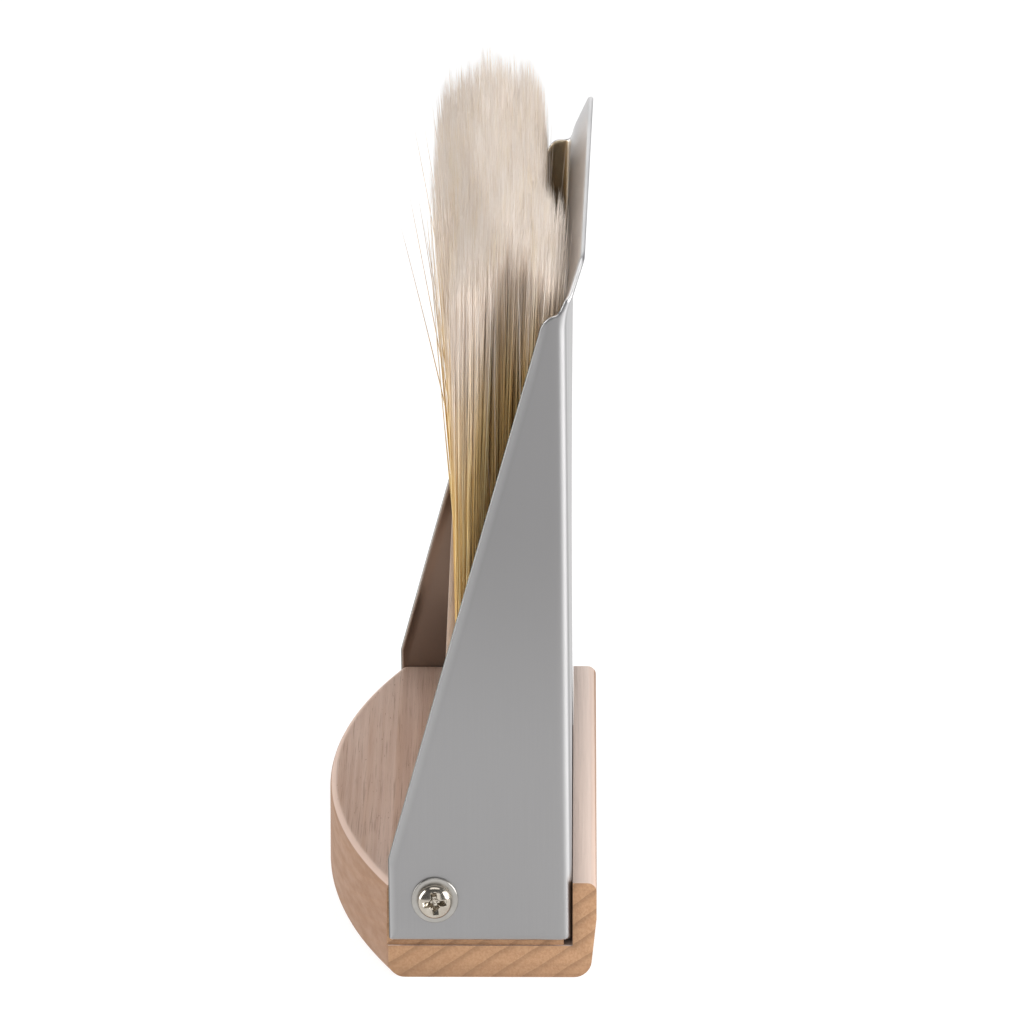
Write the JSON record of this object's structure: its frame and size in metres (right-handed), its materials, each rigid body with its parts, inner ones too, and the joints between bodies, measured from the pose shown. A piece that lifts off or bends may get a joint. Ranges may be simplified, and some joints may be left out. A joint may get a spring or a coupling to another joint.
{
  "type": "bee brush with scoop",
  "caption": "Hand brush with soft pale bristles in an arched wooden back, stored upright in its sheet-steel scoop, whose arched wooden back is also its foot.",
  "frame": {"origin": "middle of the object's box in X and Y, on the flat face of the scoop's wooden back that it stands on", "axes": "+Z from the wooden back up to the lip, +Y along the width of the scoop, +X from the scoop's open side to the side that lies on the bench when it is used"},
  "size_m": [0.0418, 0.1252, 0.1189],
  "materials": {
    "satin_steel": "satin",
    "nickel_plate": "polished",
    "beech": "sanded, unvarnished",
    "bristle": "soft natural bristle"
  },
  "bodies": {
    "scoop": {"scoop_sheet": "satin_steel", "scoop_back": "beech", "side_washer_1": "nickel_plate", "side_washer_2": "nickel_plate", "side_screw_1": "nickel_plate", "side_screw_2": "nickel_plate"},
    "brush": {"brush_back": "beech", "tuft_a01": "bristle", "tuft_a02": "bristle", "tuft_a03": "bristle", "tuft_a04": "bristle", "tuft_a05": "bristle", "tuft_a06": "bristle", "tuft_a07": "bristle", "tuft_a08": "bristle", "tuft_a09": "bristle", "tuft_a10": "bristle", "tuft_a11": "bristle", "tuft_a12": "bristle", "tuft_a13": "bristle", "tuft_a14": "bristle", "tuft_a15": "bristle", "tuft_a16": "bristle", "tuft_a17": "bristle", "tuft_b01": "bristle", "tuft_b02": "bristle", "tuft_b03": "bristle", "tuft_b04": "bristle", "tuft_b05": "bristle", "tuft_b06": "bristle", "tuft_b07": "bristle", "tuft_b08": "bristle", "tuft_b09": "bristle", "tuft_b10": "bristle", "tuft_b11": "bristle", "tuft_b12": "bristle", "tuft_b13": "bristle", "tuft_b14": "bristle", "tuft_b15": "bristle", "tuft_b16": "bristle", "tuft_c01": "bristle", "tuft_c02": "bristle", "tuft_c03": "bristle", "tuft_c04": "bristle", "tuft_c05": "bristle", "tuft_c06": "bristle", "tuft_c07": "bristle", "tuft_c08": "bristle", "tuft_c09": "bristle", "tuft_c10": "bristle", "tuft_c11": "bristle", "tuft_c12": "bristle", "tuft_c13": "bristle", "tuft_c14": "bristle", "tuft_c15": "bristle", "tuft_c16": "bristle", "tuft_c17": "bristle"}
  },
  "joints": [
    {"name": "brush_lift", "type": "slide", "parent": "scoop", "child": "brush", "axis": [0, 0, 1], "range_m": [0, 0.11]}
  ]
}
